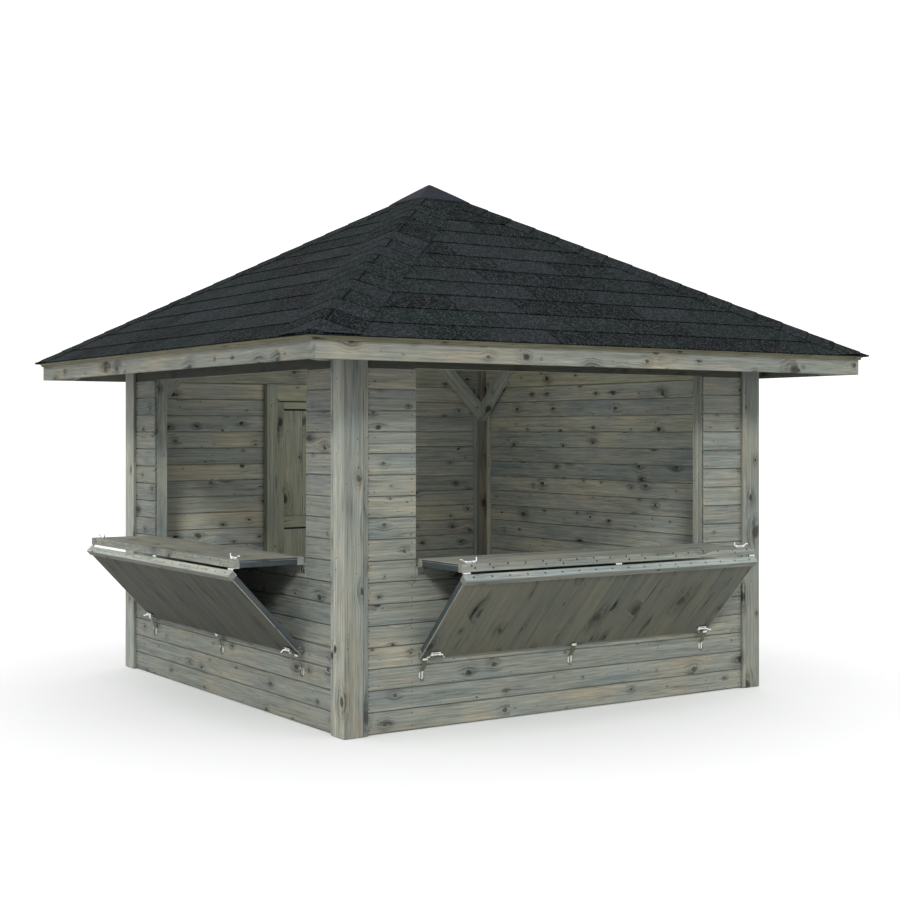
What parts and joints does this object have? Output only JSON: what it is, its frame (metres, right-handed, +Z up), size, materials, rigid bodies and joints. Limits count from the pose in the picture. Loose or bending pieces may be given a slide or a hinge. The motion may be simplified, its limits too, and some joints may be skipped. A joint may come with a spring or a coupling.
{
  "type": "timber market hut",
  "caption": "Square timber market hut with a shingled hip roof, serving openings with fold-out counters on two sides and a door at the back.",
  "frame": {"origin": "on the ground, at the middle of the hut's square plan", "axes": "+Z up; -Y is the front wall with the first serving opening, -X the left wall with the second, +Y the back wall with the door"},
  "size_m": [4.206, 4.206, 3.435],
  "materials": {
    "frame_timber": "weathered grey-green stain",
    "wall_board": "weathered grey stain",
    "hatch_timber": "weathered blue-grey stain",
    "door_timber": "weathered grey stain",
    "fascia_board": "weathered pale grey",
    "roof_board": "weathered olive",
    "roof_timber": "plain sawn",
    "shingle": "granular matt",
    "roof_cap": "smooth matt",
    "galvanised_steel": "galvanised"
  },
  "bodies": {
    "hut": {"back_wall": "wall_board", "beams": "frame_timber", "corner_posts": "frame_timber", "door_frame_hinges": "galvanised_steel", "door_head": "door_timber", "door_jambs": "door_timber", "fascia_front_back": "fascia_board", "fascia_left_right": "fascia_board", "front_wall_below_opening": "wall_board", "front_wall_margins": "wall_board", "hasp_pegs": "galvanised_steel", "hasp_straps": "galvanised_steel", "hip_caps": "shingle", "hip_rafters": "roof_timber", "inner_battens": "frame_timber", "jack_rafters": "roof_timber", "king_block": "roof_timber", "knee_braces": "frame_timber", "left_wall_below_opening": "wall_board", "left_wall_margins": "wall_board", "opening_studs": "wall_board", "outer_battens": "frame_timber", "right_wall": "wall_board", "roof_boards_back": "roof_board", "roof_boards_front": "roof_board", "roof_boards_left": "roof_board", "roof_boards_right": "roof_board", "roof_cap": "roof_cap", "roof_shingles_back": "shingle", "roof_shingles_front": "shingle", "roof_shingles_left": "shingle", "roof_shingles_right": "shingle", "sill_rails": "wall_board", "wall_hinge_plates": "galvanised_steel"},
    "door": {"door": "door_timber", "door_fittings": "galvanised_steel"},
    "front_counter": {"front_counter": "hatch_timber", "front_counter_fittings": "galvanised_steel"},
    "front_prop": {"front_prop_leaf": "hatch_timber", "front_prop_leaf_fittings": "galvanised_steel"},
    "left_counter": {"left_counter": "hatch_timber", "left_counter_fittings": "galvanised_steel"},
    "left_prop": {"left_prop_leaf": "hatch_timber", "left_prop_leaf_fittings": "galvanised_steel"}
  },
  "joints": [
    {"name": "door_hinge", "type": "hinge", "parent": "hut", "child": "door", "pos_m": [-0.4115, 1.596, 1], "axis": [0, 0, 1], "range_deg": [0, 100]},
    {"name": "front_counter_hinge", "type": "hinge", "parent": "hut", "child": "front_counter", "pos_m": [0, -1.584, 0.93], "axis": [-1, 0, 0], "range_deg": [0, 90]},
    {"name": "front_prop_hinge", "type": "hinge", "parent": "front_counter", "child": "front_prop", "pos_m": [0, -2.042, 0.93], "axis": [-1, 0, 0], "range_deg": [0, 133.35]},
    {"name": "left_counter_hinge", "type": "hinge", "parent": "hut", "child": "left_counter", "pos_m": [-1.584, 0, 0.93], "axis": [0, 1, 0], "range_deg": [0, 90]},
    {"name": "left_prop_hinge", "type": "hinge", "parent": "left_counter", "child": "left_prop", "pos_m": [-2.042, 0, 0.93], "axis": [0, 1, 0], "range_deg": [0, 133.35]}
  ]
}
